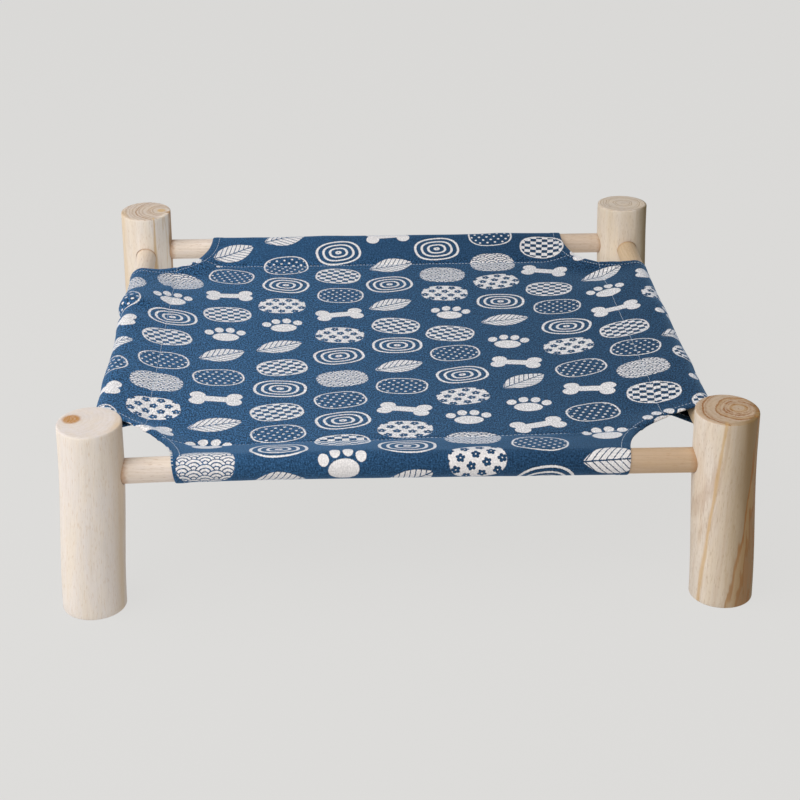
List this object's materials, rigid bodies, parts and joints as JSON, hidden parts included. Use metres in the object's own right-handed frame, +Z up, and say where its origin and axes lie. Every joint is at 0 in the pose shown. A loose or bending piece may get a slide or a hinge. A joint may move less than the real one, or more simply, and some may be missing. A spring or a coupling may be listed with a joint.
{
  "type": "raised pet hammock bed",
  "caption": "Low raised pet bed: a square canvas sling with folded corner cut-outs and sewn sleeves, held by dowel rails between short round log posts.",
  "frame": {"origin": "on the floor, in the middle between the four posts", "axes": "+Z up, +X to the right and +Y to the back, seen from the front"},
  "size_m": [0.52, 0.52, 0.152],
  "materials": {
    "pine_post": "matte",
    "dowel_rail": "matte",
    "printed_canvas": "matte"
  },
  "bodies": {
    "root": {"post_front_left": "pine_post", "post_front_right": "pine_post", "post_back_left": "pine_post", "post_back_right": "pine_post", "rail_front": "dowel_rail", "rail_back": "dowel_rail", "rail_left": "dowel_rail", "rail_right": "dowel_rail", "canvas_sling": "printed_canvas"}
  },
  "joints": []
}
